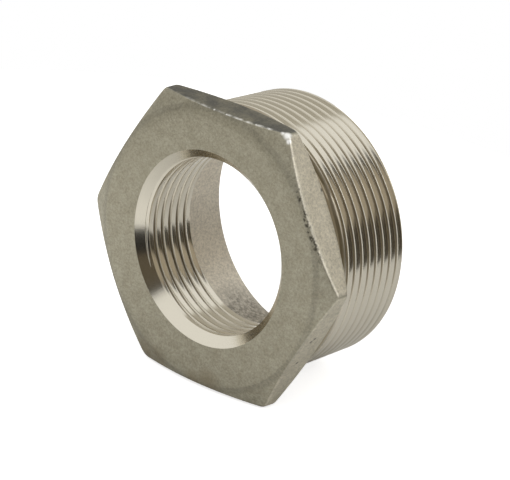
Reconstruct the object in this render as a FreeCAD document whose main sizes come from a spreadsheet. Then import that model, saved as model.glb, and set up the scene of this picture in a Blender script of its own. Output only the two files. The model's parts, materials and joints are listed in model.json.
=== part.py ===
import FreeCAD, Part
import Sketcher
import math
import os

# Hex bushing, two inch by one and a quarter inch, cast in stainless steel: a hexagon head
# with a parallel female pipe thread, and a shank with a taper male pipe thread.
#
# It is worked out upright on its own axis: the hexagon's face at the bottom, where Z is 0,
# and the shank above it. A last turn lays it down as it rests on a floor, on one flat of
# the hexagon and on the far end of the shank, with its axis running along +Y.
#
# The male thread is cut in the shank as a helical groove between flat crests. The bore is
# plain, with the size of the female thread's crests.

NODE = "hex_bushing"

# Sizes in millimetres, angles in degrees.
SIZES = {
    # hexagon head
    "across_flats": 62.4,
    "head_thickness": 7.8,
    "corner_radius": 2.2,
    "crown_inset": 1.1,
    "crown_radius": 85.0,
    # shank, with the taper thread's crest diameter at its gauge plane
    "overall_length": 31.2,
    "gauge_diameter": 59.614,
    "gauge_length": 15.9,
    "taper_ratio": 0.0625,
    "end_chamfer": 1.45,
    "neck_relief": 0.75,
    "neck_length": 2.4,
    "neck_chamfer": 0.5,
    # the taper thread's groove, from a height in the neck to one turn past the shank's end,
    # in a blank that is longer by an allowance, and is faced off when the thread is cut
    "thread_pitch": 2.309,
    "thread_depth": 1.479,
    "thread_angle": 55.0,
    "thread_start": 9.26,
    "thread_overcut": 0.2,
    "facing_allowance": 6.0,
    # bore through the head, with the parallel thread's crest diameter
    "mouth_diameter": 43.4,
    "bore_diameter": 38.952,
    "countersink_angle": 45.0,
    "bore_length": 15.0,
    # cored recess behind the bore, with its wall to the thread's root at the shank's end
    "end_wall": 1.931,
    "recess_draft": 1.5,
    "recess_chamfer": 1.8,
}

# Sizes that follow from the ones above.
DERIVED = {
    "head_apothem": "across_flats / 2",
    "crown_circle": "head_apothem - crown_inset",
    "crown_centre": "sqrt(crown_radius ^ 2 - crown_circle ^ 2)",
    "corner_reach": "head_apothem / cos(30 deg)",
    "end_crest": "gauge_diameter / 2 - gauge_length * taper_ratio / 2",
    "shank_start": "head_thickness + neck_length",
    "start_crest": "end_crest + (overall_length - shank_start) * taper_ratio / 2",
    "neck_radius": "start_crest - neck_relief",
    "blank_end": "overall_length + facing_allowance",
    "blank_crest": "end_crest - facing_allowance * taper_ratio / 2",
    "groove_crest": "end_crest + (overall_length - thread_start) * taper_ratio / 2",
    "groove_root": "groove_crest - thread_depth",
    "groove_mouth": "groove_crest + thread_overcut",
    "groove_half": "(thread_depth + thread_overcut) * tan(thread_angle / 2 * 1 deg)",
    "thread_length": "overall_length + thread_pitch - thread_start",
    "thread_taper": "atan(taper_ratio / 2)",
    "chamfer_start": "overall_length - end_chamfer",
    "chamfer_crest": "end_crest + end_chamfer * taper_ratio / 2",
    "countersink_depth": "(mouth_diameter - bore_diameter) / 2 / tan(countersink_angle * 1 deg)",
    "recess_depth": "overall_length - bore_length",
    "recess_radius": "end_crest - thread_depth - end_wall",
    "recess_floor": "recess_radius - recess_depth * tan(recess_draft * 1 deg)",
    "flat_end": "head_thickness - crown_centre + sqrt(crown_radius ^ 2 - head_apothem ^ 2)",
    "rest_tilt": "atan((head_apothem - chamfer_crest) / (chamfer_start - flat_end))",
}

SIDES = 6
FULL_TURN = 360.0
TOLERANCE = 1e-6


def fill_sheet(doc):
    """The spreadsheet of sizes: a name, and its value or the rule that it follows."""
    sheet = doc.addObject("Spreadsheet::Sheet", "Sizes")
    rows = [(name, str(value)) for name, value in SIZES.items()]
    rows += [(name, "=" + rule) for name, rule in DERIVED.items()]
    for row, (name, content) in enumerate(rows, start=1):
        sheet.set(f"A{row}", name)
        sheet.set(f"B{row}", content)
        sheet.setAlias(f"B{row}", name)
    doc.recompute()
    return sheet


def add_sketch(body, name, role):
    """A sketch on one of the body's own origin planes."""
    planes = [feature for feature in body.Origin.OriginFeatures if feature.Role == role]
    sketch = body.newObject("Sketcher::SketchObject", name)
    sketch.AttachmentSupport = [(planes[0], "")]
    sketch.MapMode = "FlatFace"
    return sketch


def closed_lines(sketch, corners):
    """Straight lines from corner to corner and back to the first, joined at their ends."""
    points = [FreeCAD.Vector(x, y, 0) for x, y in corners]
    ends = points[1:] + points[:1]
    lines = [sketch.addGeometry(Part.LineSegment(a, b), False) for a, b in zip(points, ends)]
    for line, following in zip(lines, lines[1:] + lines[:1]):
        sketch.addConstraint(Sketcher.Constraint("Coincident", line, 2, following, 1))
    return lines


def hold(sketch, kind, place, rule):
    """A dimension between two points of a sketch, which follows a rule in the sheet's names."""
    value = sketch.evalExpression(rule)
    number = getattr(value, "Value", value)
    index = sketch.addConstraint(Sketcher.Constraint(kind, *place, number))
    sketch.setExpression(f"Constraints[{index}]", rule)


def add_profile(body, name, corners):
    """A closed profile beside the axis: each corner is a radius and a height, as rules.

    None stands for a corner that lies on the axis, or on the plane of the hexagon's face."""
    sketch = add_sketch(body, name, "XZ_Plane")

    def place(rule):
        return float(sketch.evalExpression(rule)) if rule else 0.0

    lines = closed_lines(sketch, [(place(radius), place(height)) for radius, height in corners])
    for line, (radius, height) in zip(lines, corners):
        if radius:
            hold(sketch, "DistanceX", (-1, 1, line, 1), radius)
        else:
            sketch.addConstraint(Sketcher.Constraint("PointOnObject", line, 1, -2))
        if height:
            hold(sketch, "DistanceY", (-1, 1, line, 1), height)
        else:
            sketch.addConstraint(Sketcher.Constraint("PointOnObject", line, 1, -1))
    return sketch


def turn(body, kind, name, sketch):
    """A full turn of a profile about the bushing's axis, which adds or cuts material."""
    feature = body.newObject(kind, name)
    feature.Profile = sketch
    feature.ReferenceAxis = (sketch, ["V_Axis"])
    feature.Angle = FULL_TURN
    sketch.Visibility = False
    body.Document.recompute()
    return feature


def dress_edges(body, kind, name, base, wanted, value, rule):
    """A fillet or chamfer along the edges of the base feature that are wanted."""
    edges = [f"Edge{i}" for i, edge in enumerate(base.Shape.Edges, start=1) if wanted(edge)]
    if not edges:
        raise RuntimeError(f"{name}: no edge found")
    dressed = body.newObject(kind, name)
    dressed.Base = (base, edges)
    dressed.setExpression(value, rule)
    body.Document.recompute()
    return dressed


def axis_distance(point):
    return math.hypot(point.x, point.y)


def is_upright(edge):
    low, high = edge.Vertexes[0].Point, edge.Vertexes[-1].Point
    return abs(low.x - high.x) < TOLERANCE and abs(low.y - high.y) < TOLERANCE


def add_hexagon(body):
    """The head's prism, with two flats square to Y and rounded corners."""
    sketch = add_sketch(body, "hexagon", "XY_Plane")
    apothem = float(sketch.evalExpression("Sizes.head_apothem"))
    step = math.radians(FULL_TURN / SIDES)
    reach = apothem / math.cos(step / 2)
    turns = [step * side for side in range(SIDES)]
    lines = closed_lines(sketch, [(reach * math.cos(t), reach * math.sin(t)) for t in turns])
    inner = Part.Circle(FreeCAD.Vector(0, 0, 0), FreeCAD.Vector(0, 0, 1), apothem)
    circle = sketch.addGeometry(inner, True)
    sketch.addConstraint(Sketcher.Constraint("Coincident", circle, 3, -1, 1))
    hold(sketch, "Radius", (circle,), "Sizes.head_apothem")
    for line in lines:
        sketch.addConstraint(Sketcher.Constraint("Tangent", line, circle))
    for line in lines[1:-1]:
        sketch.addConstraint(Sketcher.Constraint("Equal", lines[0], line))
    sketch.addConstraint(Sketcher.Constraint("Horizontal", lines[1]))
    body.Document.recompute()

    prism = body.newObject("PartDesign::Pad", "prism")
    prism.Profile = sketch
    prism.setExpression("Length", "Sizes.head_thickness")
    sketch.Visibility = False
    body.Document.recompute()
    return dress_edges(
        body, "PartDesign::Fillet", "hexagon_corners", prism, is_upright, "Radius", "Sizes.corner_radius"
    )


def add_crown(body, name, face, centre):
    """What a turn takes off the hexagon's corners on one side of the head.

    It has a straight side on the face, an upright side past the corners, and an arc whose
    centre is on the axis. Face and centre are their heights, as rules, or None for 0."""
    sketch = add_sketch(body, name, "XZ_Plane")
    sheet = body.Document.Sizes
    circle, corner, radius = float(sheet.crown_circle), float(sheet.corner_reach), float(sheet.crown_radius)
    level = float(sketch.evalExpression(face)) if face else 0.0
    middle = float(sketch.evalExpression(centre))
    fall = math.sqrt(radius**2 - corner**2)
    foot = middle - math.copysign(fall, middle - level)
    points = [FreeCAD.Vector(x, y, 0) for x, y in ((circle, level), (corner, level), (corner, foot))]
    along, upright = (sketch.addGeometry(Part.LineSegment(a, b), False) for a, b in zip(points, points[1:]))
    angles = [math.atan2(point.y - middle, point.x) for point in (points[0], points[2])]
    inner, outer = (1, 2) if angles[0] < angles[1] else (2, 1)
    ring = Part.Circle(FreeCAD.Vector(0, middle, 0), FreeCAD.Vector(0, 0, 1), radius)
    arc = sketch.addGeometry(Part.ArcOfCircle(ring, min(angles), max(angles)), False)

    sketch.addConstraint(Sketcher.Constraint("Coincident", along, 2, upright, 1))
    sketch.addConstraint(Sketcher.Constraint("Coincident", along, 1, arc, inner))
    sketch.addConstraint(Sketcher.Constraint("Coincident", upright, 2, arc, outer))
    sketch.addConstraint(Sketcher.Constraint("PointOnObject", arc, 3, -2))
    sketch.addConstraint(Sketcher.Constraint("Horizontal", along))
    sketch.addConstraint(Sketcher.Constraint("Vertical", upright))
    if face:
        hold(sketch, "DistanceY", (-1, 1, along, 1), face)
    else:
        sketch.addConstraint(Sketcher.Constraint("PointOnObject", along, 1, -1))
    hold(sketch, "DistanceX", (-1, 1, along, 1), "Sizes.crown_circle")
    hold(sketch, "DistanceX", (-1, 1, along, 2), "Sizes.corner_reach")
    hold(sketch, "Radius", (arc,), "Sizes.crown_radius")
    return sketch


def add_head_crowns(body):
    """Both faces of the hexagon turned to a low crown, which leaves a curved edge on each flat."""
    back_centre = "Sizes.head_thickness - Sizes.crown_centre"
    front = add_crown(body, "front_waste", None, "Sizes.crown_centre")
    turn(body, "PartDesign::Groove", "front_crown", front)
    back = add_crown(body, "back_waste", "Sizes.head_thickness", back_centre)
    return turn(body, "PartDesign::Groove", "back_crown", back)


def add_shank(body):
    """The plain neck and the taper of the thread's crests, left too long for facing off."""
    corners = [
        (None, "Sizes.head_thickness"),
        ("Sizes.neck_radius", "Sizes.head_thickness"),
        ("Sizes.neck_radius", "Sizes.shank_start"),
        ("Sizes.start_crest", "Sizes.shank_start"),
        ("Sizes.blank_crest", "Sizes.blank_end"),
        (None, "Sizes.blank_end"),
    ]
    shank = turn(body, "PartDesign::Revolution", "shank", add_profile(body, "shank_profile", corners))
    thickness = float(body.Document.Sizes.head_thickness)
    neck = float(body.Document.Sizes.neck_radius)

    def is_neck_root(edge):
        point = edge.Vertexes[0].Point
        return abs(point.z - thickness) < TOLERANCE and abs(axis_distance(point) - neck) < TOLERANCE

    return dress_edges(
        body, "PartDesign::Chamfer", "neck_root", shank, is_neck_root, "Size", "Sizes.neck_chamfer"
    )


def cut_thread(body):
    """The taper male thread: a groove that winds from the neck out past the shank's end."""
    corners = [
        ("Sizes.groove_root", "Sizes.thread_start"),
        ("Sizes.groove_mouth", "Sizes.thread_start - Sizes.groove_half"),
        ("Sizes.groove_mouth", "Sizes.thread_start + Sizes.groove_half"),
    ]
    sketch = add_profile(body, "thread_profile", corners)
    thread = body.newObject("PartDesign::SubtractiveHelix", "male_thread")
    thread.Profile = sketch
    thread.ReferenceAxis = (sketch, ["V_Axis"])
    thread.Mode = "pitch-height-angle"
    thread.setExpression("Pitch", "Sizes.thread_pitch")
    thread.setExpression("Height", "Sizes.thread_length")
    thread.setExpression("Angle", "-Sizes.thread_taper")
    sketch.Visibility = False
    whole = body.Shape.Volume
    body.Document.recompute()
    if whole - body.Shape.Volume < TOLERANCE * whole:
        raise RuntimeError("the male thread's groove took no material away")


def face_off(body):
    """Takes the shank to its length, with the thread's lead-in chamfer.

    The chamfer's line is carried on past the crests by its own length."""
    corners = [
        (None, "Sizes.overall_length"),
        ("Sizes.end_crest - Sizes.end_chamfer", "Sizes.overall_length"),
        (
            "2 * Sizes.chamfer_crest - Sizes.end_crest + Sizes.end_chamfer",
            "2 * Sizes.chamfer_start - Sizes.overall_length",
        ),
        ("2 * Sizes.chamfer_crest - Sizes.end_crest + Sizes.end_chamfer", "Sizes.blank_end"),
        (None, "Sizes.blank_end"),
    ]
    turn(body, "PartDesign::Groove", "shank_end", add_profile(body, "end_profile", corners))


def cut_bore(body):
    """The countersunk bore of the female thread, and the wider recess that the core left."""
    corners = [
        (None, None),
        ("Sizes.mouth_diameter / 2", None),
        ("Sizes.bore_diameter / 2", "Sizes.countersink_depth"),
        ("Sizes.bore_diameter / 2", "Sizes.bore_length"),
        ("Sizes.recess_floor", "Sizes.bore_length"),
        ("Sizes.recess_radius", "Sizes.overall_length"),
        (None, "Sizes.overall_length"),
    ]
    bore = turn(body, "PartDesign::Groove", "bore", add_profile(body, "bore_profile", corners))
    floor = float(body.Document.Sizes.recess_floor)
    depth = float(body.Document.Sizes.bore_length)

    def is_recess_corner(edge):
        point = edge.Vertexes[0].Point
        return abs(point.z - depth) < TOLERANCE and abs(axis_distance(point) - floor) < TOLERANCE

    return dress_edges(
        body, "PartDesign::Chamfer", "recess_corner", bore, is_recess_corner, "Size", "Sizes.recess_chamfer"
    )


def lay_down(body):
    """Turns the axis from upright to +Y with the shank's end low, and stands it on Z = 0."""
    body.Placement.Rotation = FreeCAD.Rotation(FreeCAD.Vector(-1, 0, 0), FULL_TURN / 4)
    body.setExpression("Placement.Rotation.Angle", "90 deg + Sizes.rest_tilt")
    body.Document.recompute()
    box = body.Shape.optimalBoundingBox(False, False)
    body.Placement.Base = FreeCAD.Vector(-box.Center.x, -box.Center.y, -box.ZMin)
    body.Document.recompute()


def main():
    doc = FreeCAD.newDocument("HexBushing")
    fill_sheet(doc)
    body = doc.addObject("PartDesign::Body", NODE)
    body.Label = NODE
    add_hexagon(body)
    add_head_crowns(body)
    add_shank(body)
    cut_thread(body)
    face_off(body)
    cut_bore(body)
    lay_down(body)

    for item in doc.Objects:
        if "Invalid" in item.State or "Error" in item.State:
            raise RuntimeError(f"{item.Name} failed: {item.State}")
    shape = body.Shape
    if shape.isNull() or not shape.isValid() or len(shape.Solids) != 1:
        raise RuntimeError(f"{body.Label} isn't one valid solid")

    os.makedirs("parts", exist_ok=True)
    shape.exportStep(os.path.join("parts", body.Label + ".step"))
    box = shape.optimalBoundingBox(False, False)
    print(f"{body.Label}: volume {shape.Volume:.1f} mm3")
    print(f"box {box.XLength:.2f} x {box.YLength:.2f} x {box.ZLength:.2f} mm")
    print(f"placed at {body.Placement.Base}")
    print(f"turned {math.degrees(body.Placement.Rotation.Angle):.3f} degrees")


main()
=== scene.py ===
import json
import math
from contextlib import contextmanager

import bmesh
import bpy
from bpy.props import FloatProperty, FloatVectorProperty, IntProperty, PointerProperty
from mathutils import Matrix, Vector


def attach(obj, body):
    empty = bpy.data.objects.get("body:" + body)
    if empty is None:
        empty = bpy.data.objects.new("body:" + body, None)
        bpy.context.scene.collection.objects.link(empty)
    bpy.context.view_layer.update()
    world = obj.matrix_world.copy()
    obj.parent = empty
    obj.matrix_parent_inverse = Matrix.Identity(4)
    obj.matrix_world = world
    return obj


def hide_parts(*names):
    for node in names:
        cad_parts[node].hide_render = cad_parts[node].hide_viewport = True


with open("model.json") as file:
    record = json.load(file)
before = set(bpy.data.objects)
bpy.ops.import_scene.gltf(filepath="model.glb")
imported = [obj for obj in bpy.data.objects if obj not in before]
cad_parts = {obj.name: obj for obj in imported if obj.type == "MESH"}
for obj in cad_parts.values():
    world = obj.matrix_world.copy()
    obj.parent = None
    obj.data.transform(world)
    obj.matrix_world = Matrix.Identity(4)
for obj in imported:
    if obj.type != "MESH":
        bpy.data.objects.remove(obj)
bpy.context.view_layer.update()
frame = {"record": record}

# A hex bushing in cast stainless steel: a hexagon head with a parallel female pipe thread
# through it, and a short shank with a taper male pipe thread. It is one casting. The threads
# and the countersink are turned bright, and the rest has the skin of the blasted casting.
#
# It is modelled upright on its own axis, Z, with the hexagon's front face at height 0 and two
# flats square to Y. A last turn lays it where the solid lies.

bl_info = {
    "name": "Hex Bushing",
    "version": (1, 0, 0),
    "blender": (4, 5, 0),
    "location": "View3D > Sidebar > Hex Bushing",
    "description": "Models a cast and threaded hex bushing, and the stage that it lies on",
    "category": "Object",
}

MM = 0.001
INCH = 25.4 * MM
FULL_TURN = 2 * math.pi
SIDES = 6
SIXTH = FULL_TURN / SIDES
TWELFTH = SIXTH / 2
NODE = "hex_bushing"
MOUNTS = {mount["name"]: mount for mount in frame["record"]["mounts"]}

# How close points lie to count as one, as on the hexagon's rim, and as on a cut.
MERGE = 0.001 * MM
ON_RIM = 0.01 * MM
ON_CUT = 0.02 * MM

# How far the columns of faces are drawn together at the corners, as a share of their even spacing.
CORNER_PULL = 0.55

# How much of the neck's length is made with the head. The rest is made with the shank.
NECK_WITH_HEAD = 0.45

# Edges that bend by less than this are shaded smooth.
SMOOTH_ANGLE = math.radians(35)

# Heights of one crest of each thread on the side of +X, which set where the helices begin.
MALE_CREST = 12.72 * MM
FEMALE_CREST = 1.7437 * MM


def linear(code):
    """The linear colour of an sRGB hex value."""
    parts = [int(code[i:i + 2], 16) / 255 for i in (0, 2, 4)]
    return tuple(part / 12.92 if part <= 0.04045 else ((part + 0.055) / 1.055) ** 2.4 for part in parts)


def length(name, description, millimetres):
    """A setting for a length, whose default is given in millimetres."""
    return FloatProperty(
        name=name, description=description, default=millimetres * MM, unit="LENGTH", precision=5
    )


def angle(name, description, degrees):
    """A setting for an angle, whose default is given in degrees."""
    return FloatProperty(
        name=name, description=description, default=math.radians(degrees), unit="ROTATION"
    )


def colour(name, description, code):
    """A setting for a colour, whose default is given as an sRGB hex value."""
    return FloatVectorProperty(
        name=name, description=description, default=linear(code), subtype="COLOR", min=0.0, max=1.0
    )


class BushingSizes(bpy.types.PropertyGroup):
    """The bushing's sizes, which are those of its solid, and the form of its threads."""

    across_flats: length("Across flats", "Width of the hexagon from flat to flat", 62.4)
    head_thickness: length("Head thickness", "Thickness of the hexagon head", 7.8)
    corner_radius: length("Corner radius", "Rounding of the hexagon's six corners", 2.2)
    crown_inset: length("Crown inset", "How far inside the flats the faces' crowns start", 1.1)
    crown_radius: length("Crown radius", "Curve of the crowns that the head's two faces have", 85.0)
    edge_radius: length("Edge radius", "Softness of the hexagon's edges as cast", 0.8)
    overall_length: length("Overall length", "From the hexagon's face to the shank's end", 31.2)
    gauge_radius: length(
        "Gauge radius", "Male thread's crest radius at the gauge plane", MOUNTS["male_thread"]["dims"]["r_mm"]
    )
    gauge_length: length("Gauge length", "From the shank's end to the gauge plane", 15.9)
    taper: FloatProperty(name="Taper", description="The male thread's taper on its diameter", default=1 / 16)
    end_chamfer: length("End chamfer", "Lead-in chamfer at the shank's end", 1.45)
    neck_relief: length("Neck relief", "How far the neck lies below the first crest", 0.75)
    neck_length: length("Neck length", "Plain neck behind the head", 2.4)
    mouth_radius: length("Mouth radius", "Radius of the countersink at the hexagon's face", 21.7)
    bore_radius: length(
        "Bore radius", "Female thread's crest radius", MOUNTS["female_thread"]["dims"]["r_mm"]
    )
    bore_length: length("Bore length", "How deep the female thread goes", 15.0)
    recess_radius: length("Recess radius", "Radius of the recess at the shank's end", 25.9)
    recess_draft: angle("Recess draft", "Draft of the cored recess", 1.5)
    recess_fillet: length("Recess fillet", "Rounding at the recess's floor", 3.0)
    turns_per_inch: IntProperty(
        name="Turns per inch", description="Pitch of both pipe threads", default=11, min=1
    )
    thread_angle: angle("Thread angle", "Angle between the two flanks of a groove", 55.0)
    crest_curve: length("Crest curve", "Radius of the crest, which is nearly flat across", 7.2)
    crest_sweep: angle("Crest sweep", "How far the crest leans at its two edges", 5.5)
    crest_edge: length("Crest edge", "Rounding from the crest to its flanks", 0.15)
    root_round: length("Root rounding", "Rounding in the bottom of the groove", 0.12)
    columns: IntProperty(name="Columns", description="Faces round the bushing", default=240, min=36)


class BushingColours(bpy.types.PropertyGroup):
    """The colours of the two finishes, and of the stage."""

    skin_light: colour("Skin, light", "Blasted casting where it is cleanest", "BEB9A6")
    skin_dark: colour("Skin, dark", "Blasted casting where it is dull", "A39D89")
    # the cored skin's tone paints the recess lighter, which is painted light
    core: colour("Cored skin", "Casting in the recess, which the core kept clean", "EBE3D2")
    # the scale's tone darkens the flat that lies uppermost, which is painted shade
    scale: colour("Scale", "Thin bluish scale on the uppermost flat", "5E6164")
    # the clean skin's tone lightens the next two flats after the uppermost one, which is painted light
    clean: colour("Clean skin", "Casting where it was blasted longest", "FAF3E0")
    # this tone is for knocks of bare metal, and also for a painted highlight along the uppermost flat's front
    # edge
    wear_and_highlight: colour("Worn metal", "Bare metal where knocks have bruised an edge", "FBFAF5")
    # the stain's brown is for real stains on the skin, and also for the brown on the neck and the painted
    # shade in the threads' grooves
    stain: colour("Stain", "Brown stain left by pickling", "83755B")
    # the pits' tone is also painted shade on the recess's lower wall
    pit: colour("Pit", "Scale left in the casting's pits", "1E1A15")
    turned: colour("Turned metal", "Stainless steel under the cutter", "D8D2C2")
    floor: colour("Floor", "The pale floor", "E8E8E8")


def pick(*pieces):
    """These objects alone are selected, and the first of them is the active one."""
    bpy.ops.object.select_all(action="DESELECT")
    for piece in pieces:
        piece.select_set(True)
    bpy.context.view_layer.objects.active = pieces[0]


@contextmanager
def editing(piece):
    """Edit mode on one object, with all of its mesh selected."""
    pick(piece)
    bpy.ops.object.mode_set(mode="EDIT")
    bpy.ops.mesh.select_all(action="SELECT")
    yield
    bpy.ops.object.mode_set(mode="OBJECT")


def shape(piece, rule):
    """Moves each vertex by a rule that takes its radius, angle and height, and gives new ones."""
    for vertex in piece.data.vertices:
        x, y, z = vertex.co
        radius, turn, height = rule(math.hypot(x, y), math.atan2(y, x), z)
        vertex.co = (radius * math.cos(turn), radius * math.sin(turn), height)


def turned_profile(name, profile, columns, rise=0.0, turns=1):
    """A profile beside the Z axis, turned about it, and raised in each turn if it is a thread's."""
    mesh = bpy.data.meshes.new(name)
    points = [(radius, 0, height) for radius, height in profile]
    mesh.from_pydata(points, [(i, i + 1) for i in range(len(points) - 1)], [])
    piece = bpy.data.objects.new(name, mesh)
    bpy.context.collection.objects.link(piece)
    pick(piece)
    bpy.ops.object.modifier_add(type="SCREW")
    screw = piece.modifiers[-1]
    screw.steps = screw.render_steps = columns
    screw.screw_offset = rise
    screw.iterations = turns
    bpy.ops.object.modifier_apply(modifier=screw.name)
    with editing(piece):
        bpy.ops.mesh.remove_doubles(threshold=MERGE)
    return piece


def cut_level(piece, height, keep_above):
    """Cuts the piece at a height, and takes away what lies on one side."""
    with editing(piece):
        bpy.ops.mesh.bisect(
            plane_co=(0, 0, height), plane_no=(0, 0, 1), threshold=ON_CUT,
            clear_inner=keep_above, clear_outer=not keep_above,
        )


def select_edges(piece, test):
    """In edit mode, selects the edges that pass a test."""
    bpy.ops.mesh.select_mode(type="EDGE")
    bpy.ops.mesh.select_all(action="DESELECT")
    mesh = bmesh.from_edit_mesh(piece.data)
    for edge in mesh.edges:
        edge.select_set(test(edge))
    bmesh.update_edit_mesh(piece.data)


def reach(point):
    """How far a point lies from the bushing's axis."""
    return math.hypot(point.x, point.y)


def corner_shift(turn):
    """Draws the columns together at the hexagon's corners, where the outline bends."""
    return -CORNER_PULL / SIDES * math.sin(SIDES * turn)


def hexagon_reach(turn, apothem, radius):
    """The distance from the axis to the hexagon's outline, with its corners rounded, in a direction."""
    off = abs((turn + TWELFTH) % SIXTH - TWELFTH)
    centre = (apothem - radius) / math.cos(TWELFTH)
    tangent = math.atan2(radius * math.sin(TWELFTH), centre + radius * math.cos(TWELFTH))
    if off < tangent:
        return centre * math.cos(off) + math.sqrt(radius**2 - (centre * math.sin(off)) ** 2)
    return apothem / math.cos(TWELFTH - off)


def crown_circle(sizes):
    """The radius of the circle where the crown starts on a face of the head."""
    return sizes.across_flats / 2 - sizes.crown_inset


def crown_fall(radius, sizes):
    """How far the crown lies below the head's face at a radius."""
    level = math.sqrt(sizes.crown_radius**2 - crown_circle(sizes) ** 2)
    return max(level - math.sqrt(sizes.crown_radius**2 - radius**2), 0.0)


def thread_form(pitch, sizes):
    """One pitch of the thread's form, from crest to crest: (height, depth below the crest) pairs."""
    half_angle = sizes.thread_angle / 2
    bend = math.pi / 2 - half_angle
    half = []

    def arc(radius, first, last, count):
        """Goes on from the last point along an arc between two leans of the surface."""
        height, fall = half[-1] if half else (0.0, 0.0)
        for i in range(1, count + 1):
            lean = first + (last - first) * i / count
            run = abs(math.sin(lean) - math.sin(first))
            drop = abs(math.cos(lean) - math.cos(first))
            half.append((height + radius * run, fall + radius * drop))

    arc(sizes.crest_curve, 0.0, sizes.crest_sweep, 3)
    arc(sizes.crest_edge, sizes.crest_sweep, bend, 3)
    height, fall = half[-1]
    flank_end = pitch / 2 - sizes.root_round * math.sin(bend)
    half.append((flank_end, fall + (flank_end - height) / math.tan(half_angle)))
    arc(sizes.root_round, bend, 0.0, 2)
    half.insert(0, (0.0, 0.0))
    return half + [(pitch - height, fall) for height, fall in reversed(half[:-1])]


def smooth(value, low, high):
    """Rises smoothly from 0 to 1 as the value goes from low to high."""
    share = min(max((value - low) / (high - low), 0.0), 1.0)
    return share * share * (3 - 2 * share)


def male_thread(sizes):
    """The shank's taper thread, from the plain neck, where the cutter leaves it, to the end."""
    pitch = INCH / sizes.turns_per_inch
    gauge_height = sizes.overall_length - sizes.gauge_length
    shank_start = sizes.head_thickness + sizes.neck_length
    low, high = sizes.head_thickness + NECK_WITH_HEAD * sizes.neck_length, sizes.overall_length
    start = MALE_CREST - math.ceil((MALE_CREST - low) / pitch + 1) * pitch
    profile = [(sizes.gauge_radius - fall, start + height) for height, fall in thread_form(pitch, sizes)]
    turns = math.ceil((high - start) / pitch)
    piece = turned_profile("male_thread", profile, sizes.columns, pitch, turns)

    end_crest = sizes.gauge_radius - sizes.gauge_length * sizes.taper / 2
    start_crest = sizes.gauge_radius + (gauge_height - shank_start) * sizes.taper / 2
    neck = start_crest - sizes.neck_relief
    run_out = 1.2 * MM

    def cut(radius, turn, height):
        shift = corner_shift(turn)
        height += pitch * shift / FULL_TURN
        radius += (gauge_height - height) * sizes.taper / 2
        # the cutter runs out of the metal just before the neck
        radius += run_out * (1 - smooth(height, shank_start - pitch / 2, shank_start + pitch / 2))
        # the step from the neck up to the shank
        blank = neck + sizes.neck_relief * smooth(height, shank_start - 0.2 * MM, shank_start + 0.4 * MM)
        return min(radius, blank), turn + shift, height

    shape(piece, cut)
    cut_level(piece, low, keep_above=True)
    cut_level(piece, high, keep_above=False)
    return piece, neck, low, end_crest


def female_thread(sizes):
    """The bore's parallel thread, from the hexagon's face to the recess."""
    pitch = INCH / sizes.turns_per_inch
    # it stops a little short of the hexagon's face and of the recess's floor, which are joined on later
    low, high = 0.15 * MM, sizes.bore_length - 0.1 * MM
    start = FEMALE_CREST - math.ceil((FEMALE_CREST - low) / pitch + 1) * pitch
    profile = [(sizes.bore_radius + fall, start + height) for height, fall in thread_form(pitch, sizes)]
    turns = math.ceil((high - start) / pitch)
    piece = turned_profile("female_thread", profile, sizes.columns, pitch, turns)

    def cut(radius, turn, height):
        shift = corner_shift(turn)
        return radius, turn + shift, height + pitch * shift / FULL_TURN

    shape(piece, cut)
    cut_level(piece, low, keep_above=True)
    cut_level(piece, high, keep_above=False)
    return piece


def steps(first, last, count):
    """Points from one to the other, both counted."""
    pairs = list(zip(first, last))
    return [tuple(start + (end - start) * i / (count - 1) for start, end in pairs) for i in range(count)]


def head(sizes, neck, neck_end):
    """The hexagon head: a turned blank whose rim is drawn in to the hexagon's outline."""
    apothem = sizes.across_flats / 2
    thickness = sizes.head_thickness
    circle = crown_circle(sizes)
    widest = hexagon_reach(0, apothem, sizes.corner_radius)
    drop = crown_fall(widest, sizes)
    root = 0.5 * MM
    # the face starts inside the bore's mouth, which is turned off later
    profile = steps((sizes.mouth_radius - MM / 2, 0.0), (circle, 0.0), 6)
    profile += steps((circle, 0.0), (widest, drop), 7)[1:]
    profile += steps((widest, drop), (widest, thickness - drop), 7)[1:]
    profile += steps((widest, thickness - drop), (circle, thickness), 5)[1:]
    # the rounding between the head and the neck, which stops a little short of the shank's part
    profile += [
        (neck + root, thickness), (neck + 0.3 * root, thickness + 0.3 * root), (neck, thickness + root),
        (neck, neck_end - 0.2 * MM),
    ]
    piece = turned_profile("head", profile, sizes.columns)

    def draw_in(radius, turn, height):
        turn += corner_shift(turn)
        if radius <= circle + MERGE or height > thickness + MERGE:
            return radius, turn, height
        outline = hexagon_reach(turn, apothem, sizes.corner_radius)
        share = (outline - circle) / (widest - circle)
        middle = thickness / 2
        if radius < widest - MERGE:
            new = circle + (radius - circle) * share
            fall = crown_fall(new, sizes)
            return new, turn, fall if height < middle else thickness - fall
        stretch = (middle - crown_fall(outline, sizes)) / (middle - drop)
        return outline, turn, middle + (height - middle) * stretch

    shape(piece, draw_in)
    return piece


def cutters(sizes, end_crest):
    """What is turned off at the ends: a cone at the bore's mouth, and a ring round the shank's lead-in."""
    # both reach some way out of the metal, and the cone past the bore's crests too
    over, past = MM, sizes.mouth_radius - sizes.bore_radius + 1.5 * MM
    bpy.ops.mesh.primitive_cone_add(
        vertices=sizes.columns, radius1=sizes.mouth_radius + over, radius2=sizes.mouth_radius - past,
        depth=over + past, location=(0, 0, (past - over) / 2),
    )
    cone = bpy.context.object
    bpy.ops.object.transform_apply()
    top = sizes.overall_length
    lead_in = end_crest - sizes.end_chamfer
    beside = end_crest + 3 * MM
    below = top - sizes.end_chamfer - MM / 2
    first = (lead_in - MM, top + MM)
    corners = [first, (end_crest + MM / 2, below), (beside, below), (beside, top + MM), first]
    ring = turned_profile("lead_in", corners, sizes.columns)
    pick(cone, ring)
    bpy.ops.object.join()
    with editing(cone):
        bpy.ops.mesh.normals_make_consistent(inside=False)
    return cone


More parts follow.
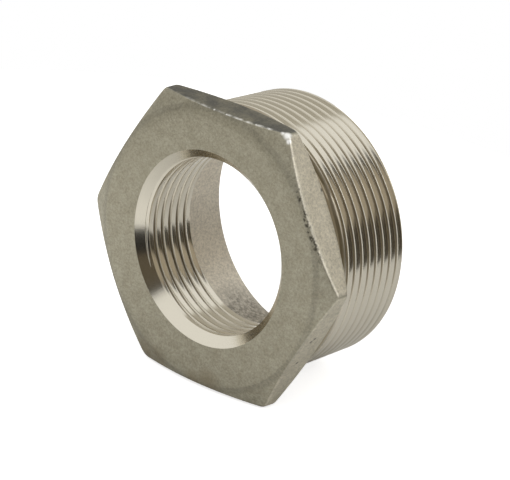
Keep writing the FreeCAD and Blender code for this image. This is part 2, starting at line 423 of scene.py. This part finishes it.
def recess(sizes, end_radius):
    """The ring at the shank's end, and the cored recess behind the bore with its rounded floor."""
    wall = math.tan(sizes.recess_draft)
    floor = sizes.bore_length
    floor_radius = sizes.recess_radius - (sizes.overall_length - floor) * wall
    fillet = sizes.recess_fillet
    bend = math.pi / 2 - sizes.recess_draft
    centre_height = floor + fillet
    centre_radius = floor_radius + fillet * wall - fillet / math.cos(sizes.recess_draft)
    top = sizes.overall_length
    rim = 0.4 * MM
    floor_end = sizes.bore_radius + 2.2 * MM
    profile = [
        (end_radius - 0.15 * MM, top), (sizes.recess_radius + rim, top),
        (sizes.recess_radius + rim * 0.25, top - rim * 0.3), (sizes.recess_radius - rim * wall, top - rim),
    ]
    leans = [sizes.recess_draft + bend * i / 6 for i in range(7)]
    arc = [
        (centre_radius + fillet * math.cos(lean), centre_height - fillet * math.sin(lean)) for lean in leans
    ]
    profile += steps(profile[-1], arc[0], 12)[1:]
    profile += arc[1:]
    profile += steps(arc[-1], (floor_end, floor), 3)[1:]
    piece = turned_profile("recess", profile, sizes.columns)
    shape(piece, lambda radius, turn, height: (radius, turn + corner_shift(turn), height))
    return piece


def on_countersink(face, sizes):
    """True for a face of the cone at the bore's mouth, which leans by half a right angle."""
    middle = face.calc_center_median()
    leans = abs(face.normal.z + math.sin(math.pi / 4)) < 0.01
    return leans and abs(reach(middle) + middle.z - sizes.mouth_radius) < ON_CUT


def bounds_countersink(edge, sizes):
    """True for the countersink's crisp edges, at its mouth and where it cuts the thread."""
    return sum(on_countersink(face, sizes) for face in edge.link_faces) == 1


def is_rim(edge, sizes):
    """True for the edges that run along the outline, where a crown ends on the hexagon's sides."""
    points = [corner.co for corner in edge.verts]
    turns = [math.atan2(point.y, point.x) for point in points]
    runs_along = abs(turns[0] - turns[1]) >= 0.0001
    if not runs_along or max(point.z for point in points) > sizes.head_thickness:
        return False
    for point, turn in zip(points, turns):
        outline = hexagon_reach(turn, sizes.across_flats / 2, sizes.corner_radius)
        fall = crown_fall(outline, sizes)
        depth = min(point.z, sizes.head_thickness - point.z)
        if abs(reach(point) - outline) > ON_RIM or abs(depth - fall) > ON_RIM:
            return False
    return True


def bridge(piece, low, high, inner, outer):
    """Joins the two open rims that lie between two heights and two radii."""

    def on_rim(edge):
        return edge.is_boundary and all(
            low < corner.co.z < high and inner < reach(corner.co) < outer for corner in edge.verts
        )

    select_edges(piece, on_rim)
    bpy.ops.mesh.bridge_edge_loops()


def upright_to_rest(sizes):
    """The move that lays the upright bushing where its solid lies."""
    axis = Vector(MOUNTS["male_thread"]["axis"])
    across = Vector((1, 0, 0))
    gauge = Vector(MOUNTS["male_thread"]["pos_m"])
    face = gauge - axis * (sizes.overall_length - sizes.gauge_length)
    turn = Matrix((across, axis.cross(across), axis)).transposed()
    return Matrix.Translation(face) @ turn.to_4x4()


class HEXBUSHING_OT_body(bpy.types.Operator):
    """Models the bushing: head, threads and recess as one closed shape"""

    bl_idname = "hexbushing.body"
    bl_label = "Bushing"

    def execute(self, context):
        sizes = context.scene.bushing_sizes
        shank, neck, neck_end, end_crest = male_thread(sizes)
        end_radius = end_crest - sizes.end_chamfer
        bore = female_thread(sizes)
        blank = head(sizes, neck, neck_end)
        core = recess(sizes, end_radius)
        tool = cutters(sizes, end_crest)
        skin = cast_skin(context)
        bright = turned_metal(context)
        for piece, finish in ((blank, 0), (core, 0), (shank, 1), (bore, 1), (tool, 1)):
            piece.data.materials.append(skin)
            piece.data.materials.append(bright)
            for face in piece.data.polygons:
                face.material_index = finish

        pick(blank, core, shank, bore)
        bpy.ops.object.join()
        piece = bpy.context.object
        piece.name = piece.data.name = "bushing"
        top = sizes.overall_length
        with editing(piece):
            bridge(piece, -MM, MM, 0, sizes.mouth_radius)
            bridge(piece, neck_end - MM, neck_end + MM, neck - MM, neck + MM)
            bridge(piece, top - MM, top + MM, end_radius - MM, end_crest + MM)
            bridge(piece, sizes.bore_length - MM, sizes.bore_length + MM, 0, sizes.bore_radius + 3 * MM)
            select_edges(piece, lambda edge: is_rim(edge, sizes))
            bpy.ops.mesh.bevel(offset=sizes.edge_radius / 2, segments=3, affect="EDGES")
            bpy.ops.mesh.select_all(action="SELECT")
            bpy.ops.mesh.normals_make_consistent(inside=False)

        bpy.ops.object.modifier_add(type="BOOLEAN")
        cut = piece.modifiers[-1]
        cut.object = tool
        cut.operation = "DIFFERENCE"
        cut.solver = "EXACT"
        bpy.ops.object.modifier_apply(modifier=cut.name)
        bpy.data.objects.remove(tool)
        bpy.ops.object.shade_smooth_by_angle(angle=SMOOTH_ANGLE)
        with editing(piece):
            select_edges(piece, lambda edge: bounds_countersink(edge, sizes))
            bpy.ops.mesh.mark_sharp()

        piece.matrix_world = upright_to_rest(sizes)
        bpy.ops.object.transform_apply(location=True, rotation=True, scale=True)
        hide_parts(NODE)
        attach(piece, "root")
        return {"FINISHED"}


def new_material(name):
    """An empty node material and its node tree."""
    material = bpy.data.materials.new(name)
    material.use_nodes = True
    material.node_tree.nodes.clear()
    return material, material.node_tree


def add(tree, kind, *values, **named):
    """Adds a shader node with its settings and links.

    The values go to its inputs in turn. A name that starts with a capital is an input's, with _ for
    a space, and any other is a setting's. A node as a value stands for its first output in use. So
    a MapRange takes a value, the two ends of its range, and what they become if not 0 and 1."""
    node = tree.nodes.new("ShaderNode" + kind)
    for name, value in named.items():
        if name[0].islower():
            setattr(node, name, value)
    given = list(zip([socket for socket in node.inputs if socket.enabled], values))
    given += [(node.inputs[name.replace("_", " ")], named[name]) for name in named if name[0].isupper()]
    for socket, value in given:
        if isinstance(value, bpy.types.Node):
            value = next(output for output in value.outputs if output.enabled)
        if isinstance(value, bpy.types.NodeSocket):
            tree.links.new(value, socket)
        else:
            socket.default_value = value
    return node


def upright_coordinates(tree, sizes):
    """Object coordinates turned back to the bushing's own upright axis."""
    back = upright_to_rest(sizes).inverted()
    place = add(tree, "TexCoord").outputs["Object"]
    return add(tree, "Mapping", place, back.to_translation(), back.to_euler())


def from_axis(tree, place):
    """How far a place lies from the bushing's axis."""
    across = add(tree, "VectorMath", place, (1, 1, 0), operation="MULTIPLY")
    return add(tree, "VectorMath", across, operation="LENGTH")


def towards(tree, place, turn):
    """How far a place lies out in a direction square to the axis."""
    direction = (math.cos(turn), math.sin(turn), 0)
    return add(tree, "VectorMath", place, direction, operation="DOT_PRODUCT")


def near(tree, value, middle, half_width):
    """1 where a value is close to the middle, and 0 beyond the half width."""
    off = add(tree, "Math", value, middle, operation="SUBTRACT")
    off = add(tree, "Math", off, operation="ABSOLUTE")
    return add(tree, "MapRange", off, half_width / 2, half_width, 1.0, 0.0)


def spots(tree, place, marks):
    """A mask for each mark: 1 in the middle of a ball round its place, and 0 a little beyond its radius."""
    masks = []
    for *centre, radius in marks:
        centre = tuple(value * MM for value in centre)
        off = add(tree, "VectorMath", place, centre, operation="DISTANCE")
        masks.append(add(tree, "MapRange", off, 0.4 * radius * MM, 1.1 * radius * MM, 1.0, 0.0))
    return masks


def on_flat(tree, place, turn, sizes):
    """1 on the flat of the hexagon that faces a direction."""
    flat = sizes.across_flats / 2
    return add(tree, "MapRange", towards(tree, place, turn), flat - 0.3 * MM, flat - 0.1 * MM)


def where_all(tree, first, *others):
    """Masks laid over each other, which leaves what is in all of them."""
    for mask in others:
        first = add(tree, "Math", first, mask, operation="MULTIPLY")
    return first


def where_any(tree, first, *others):
    """Masks side by side, each where it is the strongest."""
    for mask in others:
        first = add(tree, "Math", first, mask, operation="MAXIMUM")
    return first


# Marks of the casting, and a spot of painted shade in the recess: the place in millimetres, upright, and the
# radius.
STAINS = ((-17.0, 30.2, 0.0, 4.5), (-12.5, 29.8, 0.0, 3.5), (3.3, 30.3, 0.0, 4.0), (-1.0, 31.0, 0.5, 3.0))
KNOCKS = (
    (17.8, -30.9, 2.3, 1.2), (16.7, -31.2, 1.9, 0.7), (18.5, -29.7, 2.1, 0.7), (-1.7, -31.2, 0.4, 0.35),
    (1.9, -31.2, 0.4, 0.35), (9.9, -31.2, 1.0, 0.3), (13.2, -31.2, 1.5, 0.35),
)
PITS = (
    (24.6, -19.8, 7.0, 0.5), (29.3, 11.6, 3.7, 0.5), (29.0, 12.3, 3.0, 0.45), (25.5, 18.3, 3.1, 0.45),
    (28.9, -11.6, 0.6, 0.4), (29.9, -9.6, 0.6, 0.5), (23.9, -21.1, 0.6, 0.4), (33.0, 4.6, 5.6, 0.4),
)
RECESS_SHADE_SPOT = ((-9.5, 23.5, 25.5, 9.0),)

# The directions that three flats face: the upper one as the bushing lies, and the next two.
UPPER_FLAT, NEXT_FLAT, THIRD_FLAT = -3 * TWELFTH, -TWELFTH, TWELFTH

# In the threads' grooves the painted shade is strongest in this direction from the axis, and opposite to it.
SHADED_SIDE = math.radians(-25)


def front_mask(tree, place, height, sizes):
    """1 on the head's front face, crown and all, and 0 a little behind it."""
    circle = crown_circle(sizes)
    level = math.sqrt(sizes.crown_radius**2 - circle**2)
    # the crown's fall grows nearly with the square of the radius
    crown = add(tree, "Math", from_axis(tree, place), 2.0, operation="POWER")
    crown = add(tree, "Math", crown, circle**2, operation="SUBTRACT")
    crown = add(tree, "Math", crown, 2 * level, operation="DIVIDE")
    crown = add(tree, "Math", crown, 0.0, operation="MAXIMUM")
    behind = add(tree, "Math", height, crown, operation="SUBTRACT")
    return add(tree, "MapRange", behind, 0.3 * MM, 0.5 * MM, 1.0, 0.0)


def core_tone(tree, place, mottle, colours):
    """The skin of the recess: painted lighter than outside, which is painted light, and dark with a coarse
    mottle on its lower wall, which is painted shade.
    """
    # where it is dull it has a little of the stain's brown
    dull = [0.88 * core + 0.12 * stain for core, stain in zip(colours.core, colours.stain)]
    tone = add(tree, "Mix", mottle, (*dull, 1), (*colours.core, 1), data_type="RGBA")
    # painted shade: the recess's lower wall is darkened in a coarse mottle
    coarse = add(tree, "TexNoise", place, Scale=1 / (0.8 * MM), Detail=4.0, Roughness=0.8)
    coarse = add(tree, "MapRange", coarse, 0.38, 0.62, 0.25, 0.7)
    recess_shade = where_all(tree, coarse, *spots(tree, place, RECESS_SHADE_SPOT))
    return add(tree, "Mix", recess_shade, tone, (*colours.pit, 1), data_type="RGBA")


def knock_and_highlight_mask(tree, place, across, front, sizes):
    """The front edge between two corners: knocks of bare metal, most of all at the second corner, and a
    bright line along part of the edge, which is painted highlight.
    """
    edge = near(tree, towards(tree, place, UPPER_FLAT), sizes.across_flats / 2 - 0.1 * MM, 0.24 * MM)
    stretch = add(tree, "MapRange", across, -14 * MM, -2 * MM)
    breaks = add(tree, "TexNoise", place, Scale=1 / (1.4 * MM), Detail=4.0)
    breaks = add(tree, "MapRange", breaks, 0.4, 0.65)
    edge = where_all(tree, edge, front, stretch, breaks, 0.55)
    return where_any(tree, edge, *spots(tree, place, KNOCKS))


def pit_mask(tree, place, downward, front, sizes):
    """Pits in a row along the front edge of the next flat, and a few on the flats."""
    row = near(tree, towards(tree, place, NEXT_FLAT), sizes.across_flats / 2 - 0.45 * MM, 0.6 * MM)
    stretch = near(tree, downward, -14.5 * MM, 9.5 * MM)
    breaks = add(tree, "TexNoise", place, Scale=1 / (0.9 * MM), Detail=2.0)
    breaks = add(tree, "MapRange", breaks, 0.5, 0.6)
    row = where_all(tree, row, front, stretch, breaks)
    return where_any(tree, row, *spots(tree, place, PITS))


def cast_skin(context):
    """Stainless steel as cast and blasted with grit: dull, finely rough and mottled."""
    colours, sizes = context.scene.bushing_colours, context.scene.bushing_sizes
    material, tree = new_material("cast_stainless_blasted")
    place = upright_coordinates(tree, sizes)
    parts = add(tree, "SeparateXYZ", place).outputs
    height = parts["Z"]
    blotch = add(tree, "TexNoise", place, Scale=1 / (3 * MM), Detail=6.0, Roughness=0.75)
    mottle = add(tree, "MapRange", blotch, 0.25, 0.75)
    tone = add(tree, "Mix", mottle, (*colours.skin_dark, 1), (*colours.skin_light, 1), data_type="RGBA")

    # the flat that lies uppermost is painted darker and bluish, which is painted shade, and the next two are
    # painted lighter than the rest, which is painted light
    patch = add(tree, "TexNoise", place, Scale=1 / (5 * MM), Detail=4.0, Roughness=0.6)
    patch = add(tree, "MapRange", patch, 0.35, 0.6)
    patchy = add(tree, "Math", patch, 0.5, 0.25, operation="MULTIPLY_ADD")
    # painted shade: the flat that lies uppermost is darkened and made bluish in patches
    top_flat_shade = where_all(tree, on_flat(tree, place, UPPER_FLAT, sizes), patchy)
    tone = add(tree, "Mix", top_flat_shade, tone, (*colours.scale, 1), data_type="RGBA")
    patchy = add(tree, "Math", mottle, 0.4, 0.7, operation="MULTIPLY_ADD")
    # painted light: the next two flats are lightened, the next one most
    for flat, share in ((THIRD_FLAT, 0.5), (NEXT_FLAT, 0.75)):
        lit_flat = where_all(tree, on_flat(tree, place, flat, sizes), share, patchy)
        tone = add(tree, "Mix", lit_flat, tone, (*colours.clean, 1), data_type="RGBA")

    # painted light: in the recess the skin is painted lighter than outside
    inside = add(tree, "MapRange", height, sizes.bore_length - MM, sizes.bore_length)
    tone = add(tree, "Mix", inside, tone, core_tone(tree, place, mottle, colours), data_type="RGBA")

    # the grit leaves dark specks of about half a millimetre
    specks = add(tree, "TexNoise", place, Scale=1 / (0.6 * MM), Detail=4.0, Roughness=0.85)
    specks = add(tree, "MapRange", specks, 0.36, 0.6, 0.32, 0.0)
    tone = add(tree, "Mix", specks, tone, (0, 0, 0, 1), data_type="RGBA")

    # the crown's start is painted as a dark arc near the corners, which is painted shade along that edge
    front = front_mask(tree, place, height, sizes)
    arc = near(tree, from_axis(tree, place), sizes.across_flats / 2 - 0.1 * MM, 0.9 * MM)
    arc = where_all(tree, arc, front, blotch, 0.3)
    tone = add(tree, "Mix", arc, tone, (0, 0, 0, 1), data_type="RGBA")

    # brown stains at the face's lower rim, and a browner band just behind the head
    behind = where_all(tree, near(tree, height, sizes.head_thickness + 0.2 * MM, 0.9 * MM), patch)
    brown_marks = where_any(tree, behind, *spots(tree, place, STAINS))
    brown_marks = where_all(tree, brown_marks, mottle, 0.9)
    tone = add(tree, "Mix", brown_marks, tone, (*colours.stain, 1), data_type="RGBA")

    # knocks of bare metal, and a bright line along the uppermost front edge that is painted highlight
    wear_and_highlight = knock_and_highlight_mask(tree, place, parts["X"], front, sizes)
    tone = add(tree, "Mix", wear_and_highlight, tone, (*colours.wear_and_highlight, 1), data_type="RGBA")
    pits = pit_mask(tree, place, parts["Y"], front, sizes)
    tone = add(tree, "Mix", where_all(tree, pits, 0.7), tone, (*colours.pit, 1), data_type="RGBA")

    # the skin is dented by the grit and sinks into the pits, and is smoother on the knocks and on the painted
    # highlight
    grit = add(tree, "TexNoise", place, Scale=1 / (0.55 * MM), Detail=3.0, Roughness=0.7)
    relief = add(tree, "Math", grit, pits, operation="SUBTRACT")
    bump = add(tree, "Bump", Height=relief, Strength=0.8, Distance=0.08 * MM)
    dull = add(tree, "Math", wear_and_highlight, -0.2, 0.5, operation="MULTIPLY_ADD")
    shader = add(tree, "BsdfPrincipled", tone, Metallic=1.0, Roughness=dull, Normal=bump)
    add(tree, "OutputMaterial", shader)
    return material


def brown_and_groove_shade(tree, place, height, sizes):
    """Where the turned metal is browner: on the neck, faintly at the shank's end, and in the grooves
    of both threads, mostly on two sides, where it is painted shade."""
    radius = from_axis(tree, place)
    stop = sizes.head_thickness + sizes.neck_length
    neck = add(tree, "MapRange", height, stop + 0.2 * MM, stop + 1.2 * MM, 0.7, 0.0)
    end = add(tree, "MapRange", height, sizes.overall_length - 3 * MM, sizes.overall_length - MM)
    before_end = add(tree, "Math", 1.0, end, operation="SUBTRACT")

    # the painted shade is faint beyond 38 degrees from the shaded side, and strong within 18
    side = add(tree, "Math", towards(tree, place, SHADED_SIDE), radius, operation="DIVIDE")
    side = add(tree, "Math", side, operation="ABSOLUTE")
    thin, thick = math.cos(math.radians(38)), math.cos(math.radians(18))
    side = add(tree, "MapRange", side, thin, thick, 0.25, 0.85)

    def in_groove(wide, narrow):
        """The painted shade in a thread's groove, which grows with its depth, the difference of two radii."""
        depth = add(tree, "Math", wide, narrow, operation="SUBTRACT")
        return where_all(tree, add(tree, "MapRange", depth, 0.02 * MM, 0.25 * MM), side)

    gauge_height = sizes.overall_length - sizes.gauge_length
    cone = sizes.gauge_radius + gauge_height * sizes.taper / 2
    crest = add(tree, "Math", height, -sizes.taper / 2, cone, operation="MULTIPLY_ADD")
    grooves = where_all(tree, in_groove(crest, radius), before_end)
    shank = where_any(tree, neck, where_all(tree, end, 0.25), grooves)

    mouth_depth = sizes.mouth_radius - sizes.bore_radius
    behind_mouth = add(tree, "MapRange", height, mouth_depth, mouth_depth + 0.3 * MM)
    bore = where_all(tree, in_groove(radius, sizes.bore_radius), behind_mouth)

    # the bore's thread lies inside this radius, and the shank's outside it
    outside = add(tree, "MapRange", radius, 24 * MM, 25 * MM)
    return add(tree, "Mix", outside, bore, shank)


def turned_metal(context):
    """Stainless steel as the threading tool leaves it: bright, with fine marks that run round the axis."""
    colours, sizes = context.scene.bushing_colours, context.scene.bushing_sizes
    material, tree = new_material("stainless_turned")
    place = upright_coordinates(tree, sizes)
    height = add(tree, "SeparateXYZ", place).outputs["Z"]
    # the tool leaves rings about 0.15 mm apart
    marks = add(tree, "TexNoise", noise_dimensions="1D", W=height, Scale=1 / (0.15 * MM))
    bump = add(tree, "Bump", Height=marks, Strength=0.2, Distance=0.01 * MM)
    # browner on the neck and at the shank's end, and painted shade in the threads' grooves
    brown_and_shade = brown_and_groove_shade(tree, place, height, sizes)
    tone = add(tree, "Mix", brown_and_shade, (*colours.turned, 1), (*colours.stain, 1), data_type="RGBA")
    dull = add(tree, "Math", brown_and_shade, 0.3, 0.17, operation="MULTIPLY_ADD")
    shader = add(tree, "BsdfPrincipled", tone, Metallic=1.0, Roughness=dull, Normal=bump)
    add(tree, "OutputMaterial", shader)
    return material


class StageSettings(bpy.types.PropertyGroup):
    """The camera's place, and the floor, the room's wall and the lamp that the metal mirrors."""

    azimuth: angle("Azimuth", "How far the camera goes round from the hexagon's face", 42.85)
    elevation: angle("Elevation", "How far the camera looks down", 24.35)
    roll: angle("Roll", "Lean of the camera", -1.59)
    distance: length("Distance", "From the camera to the bushing", 1029.5)
    aim: FloatVectorProperty(
        name="Aim", description="The point in the middle of the picture",
        default=(0.23 * MM, -0.77 * MM, 29.4 * MM), subtype="TRANSLATION", precision=5,
    )
    lens: FloatProperty(name="Lens", description="Focal length in millimetres", default=337.5)
    floor_radius: length("Floor radius", "The floor ends here, so its edge lies below the room's wall", 165.0)
    floor_shift: length("Floor shift", "How far the floor's middle lies to the front and to the left", 39.0)
    floor_seen: FloatProperty(
        name="Floor, seen", description="Light added to the floor for the camera", default=0.72
    )
    floor_ahead: FloatProperty(
        name="Floor, ahead", description="Light added to it in the metal, in front of the face", default=0.27
    )
    floor_beside: FloatProperty(
        name="Floor, beside", description="Light added to it in the metal, to the bushing's left", default=0.3
    )
    wall_radius: length("Wall radius", "How far off the room's wall stands", 600.0)
    wall_low: angle("Wall, low", "Elevation of the wall's foot as seen from the bushing", -20.0)
    wall_high: angle("Wall, high", "Elevation of the wall's top as seen from the bushing", 60.0)
    lamp_bearing: angle("Lamp's bearing", "Bearing of the soft lamp, from +X towards +Y", 2.0)
    lamp_elevation: angle("Lamp's elevation", "Elevation of the soft lamp", 27.0)
    lamp_distance: length("Lamp's distance", "From the lamp to the bushing", 700.0)
    lamp_width: length("Lamp's width", "Width of the lamp's square face", 420.0)
    lamp_light: FloatProperty(
        name="Lamp's light", description="Brightness of the lamp's face, beside white at 1", default=1.8
    )


# The unlit parts of the room that the metal mirrors: from one bearing to another, in degrees from
# +X towards +Y, up to an elevation, in a colour. A later part covers an earlier one.
UNLIT = (
    (35, 76, 37, "2B261E"),
    (35, 67, 34, "AFA594"),
    (46, 76, 7, "423B30"),
    (35, 46, 7, "1B1813"),
    (-75, -38, 43, "2A251D"),
    (-61, -38, 40, "5E5546"),
    (-75, -38, 11, "14110E"),
    (108, 175, 62, "BAB6AC"),
    (-155, -105, 30, "ACA89F"),
)

# How far their edges fade, across and upward.
SOFT_ACROSS, SOFT_UPWARD = math.radians(3), 30 * MM


def place_camera(stage):
    """The camera looks at the aim from its azimuth and elevation, with a small lean."""
    level = math.cos(stage.elevation)
    away = Vector((
        math.sin(stage.azimuth) * level, -math.cos(stage.azimuth) * level, math.sin(stage.elevation)
    ))
    right = Vector((0, 0, 1)).cross(away).normalized()
    up = away.cross(right)
    turn = Matrix((right, up, away)).transposed() @ Matrix.Rotation(-stage.roll, 3, "Z")
    bpy.ops.object.camera_add()
    camera = bpy.context.object
    camera.name = "camera"
    camera.matrix_world = Matrix.Translation(Vector(stage.aim) + away * stage.distance) @ turn.to_4x4()
    camera.data.lens = stage.lens
    camera.data.sensor_width = 36.0
    camera.data.clip_end = 10.0
    bpy.context.scene.camera = camera


def floor_material(colours, stage):
    """A pale floor with a glow added: an even one for the camera, so that it shows white, and in the metal
    one that is stronger in front of the face and to the left, which is painted light. It keeps the shadow.
    """
    material, tree = new_material("floor_paper")
    ray = add(tree, "LightPath").outputs
    mirrored = where_any(tree, ray["Is Glossy Ray"], ray["Is Transmission Ray"])
    place = add(tree, "SeparateXYZ", add(tree, "TexCoord").outputs["Object"]).outputs
    # in the metal the painted light brightens from behind the face to the front, and from the middle to the
    # left
    ahead = add(tree, "MapRange", place["Y"], 30 * MM, -20 * MM, 0.0, stage.floor_ahead)
    beside = add(tree, "MapRange", place["X"], -5 * MM, -30 * MM, 0.0, stage.floor_beside)
    lift = add(tree, "Math", ahead, beside, operation="ADD")
    mirrored = where_all(tree, mirrored, lift)
    lift = add(tree, "Math", ray["Is Camera Ray"], stage.floor_seen, mirrored, operation="MULTIPLY_ADD")
    paper = add(tree, "BsdfDiffuse", (*colours.floor, 1))
    glow = add(tree, "Emission", (1, 1, 1, 1), lift)
    add(tree, "OutputMaterial", add(tree, "AddShader", paper, glow))
    return material


def between(tree, value, low, high, soft):
    """1 where a value lies between two limits, with soft ends."""
    rise = add(tree, "MapRange", value, low - soft, low + soft, interpolation_type="SMOOTHSTEP")
    fall = add(tree, "MapRange", value, high - soft, high + soft, 1.0, 0.0, interpolation_type="SMOOTHSTEP")
    return where_all(tree, rise, fall)


def wall_material(stage, middle):
    """The wall of the room: white as the sky above it, with its unlit parts."""
    material, tree = new_material("room_wall")
    parts = add(tree, "SeparateXYZ", add(tree, "TexCoord").outputs["Object"]).outputs
    bearing = add(tree, "Math", parts["Y"], parts["X"], operation="ARCTAN2")
    tone = (1, 1, 1, 1)
    for first, last, top, code in UNLIT:
        across = between(tree, bearing, math.radians(first), math.radians(last), SOFT_ACROSS)
        high = middle + stage.wall_radius * math.tan(math.radians(top))
        upward = between(tree, parts["Z"], -stage.wall_radius, high, SOFT_UPWARD)
        unlit = where_all(tree, across, upward)
        tone = add(tree, "Mix", unlit, tone, (*linear(code), 1), data_type="RGBA")
    add(tree, "OutputMaterial", add(tree, "Emission", tone, 1.0))
    return material


def place_lamp(stage, middle):
    """A square soft lamp beside the bushing, which faces it."""
    level = math.cos(stage.lamp_elevation)
    bearing = stage.lamp_bearing
    away = Vector((math.cos(bearing) * level, math.sin(bearing) * level, math.sin(stage.lamp_elevation)))
    bpy.ops.object.light_add(
        type="AREA", location=away * stage.lamp_distance + Vector((0, 0, middle)),
        rotation=away.to_track_quat("Z", "Y").to_euler(),
    )
    lamp = bpy.context.object
    lamp.name = "soft_lamp"
    lamp.visible_camera = False
    lamp.data.size = stage.lamp_width
    lamp.data.energy = math.pi * stage.lamp_width**2 * stage.lamp_light


class HEXBUSHING_OT_stage(bpy.types.Operator):
    """Sets the floor, the white surroundings with their unlit parts, the lamp and the camera"""

    bl_idname = "hexbushing.stage"
    bl_label = "Stage"

    def execute(self, context):
        stage, colours = context.scene.bushing_stage, context.scene.bushing_colours
        bpy.ops.object.select_all(action="DESELECT")
        place_camera(stage)
        bpy.ops.mesh.primitive_circle_add(
            vertices=128, radius=stage.floor_radius, fill_type="NGON",
            location=(-stage.floor_shift, -stage.floor_shift, 0),
        )
        floor = bpy.context.object
        floor.name = "floor"
        floor.data.materials.append(floor_material(colours, stage))
        middle = stage.aim[2]
        low = middle + stage.wall_radius * math.tan(stage.wall_low)
        high = middle + stage.wall_radius * math.tan(stage.wall_high)
        bpy.ops.mesh.primitive_cylinder_add(
            vertices=96, radius=stage.wall_radius, depth=high - low, end_fill_type="NOTHING",
            location=(0, 0, (low + high) / 2),
        )
        wall = bpy.context.object
        wall.name = "room_wall"
        bpy.ops.object.transform_apply()
        wall.data.materials.append(wall_material(stage, middle))
        wall.visible_camera = False
        place_lamp(stage, middle)

        world = bpy.data.worlds.new("white_room")
        context.scene.world = world
        world.use_nodes = True
        tree = world.node_tree
        tree.nodes.clear()
        add(tree, "OutputWorld", add(tree, "Background", (1, 1, 1, 1), 1.0))
        context.scene.view_settings.view_transform = "Standard"
        return {"FINISHED"}


class HEXBUSHING_PT_panel(bpy.types.Panel):
    """Lists the pieces and the stage"""

    bl_idname = "HEXBUSHING_PT_panel"
    bl_label = "Hex Bushing"
    bl_space_type = "VIEW_3D"
    bl_region_type = "UI"
    bl_category = "Hex Bushing"

    def draw(self, context):
        layout, scene = self.layout, context.scene
        for operator in OPERATORS:
            layout.operator(operator.bl_idname)
        for group in (scene.bushing_sizes, scene.bushing_colours, scene.bushing_stage):
            for name in group.bl_rna.properties.keys():
                if name not in ("rna_type", "name"):
                    layout.prop(group, name)


OPERATORS = (HEXBUSHING_OT_body, HEXBUSHING_OT_stage)
CLASSES = (BushingSizes, BushingColours, StageSettings, *OPERATORS, HEXBUSHING_PT_panel)


def register():
    for item in CLASSES:
        bpy.utils.register_class(item)
    bpy.types.Scene.bushing_sizes = PointerProperty(type=BushingSizes)
    bpy.types.Scene.bushing_colours = PointerProperty(type=BushingColours)
    bpy.types.Scene.bushing_stage = PointerProperty(type=StageSettings)


def unregister():
    del bpy.types.Scene.bushing_stage
    del bpy.types.Scene.bushing_colours
    del bpy.types.Scene.bushing_sizes
    for item in reversed(CLASSES):
        bpy.utils.unregister_class(item)


def main():
    register()
    bpy.ops.hexbushing.stage()
    bpy.ops.hexbushing.body()


if __name__ == "__main__":
    main()
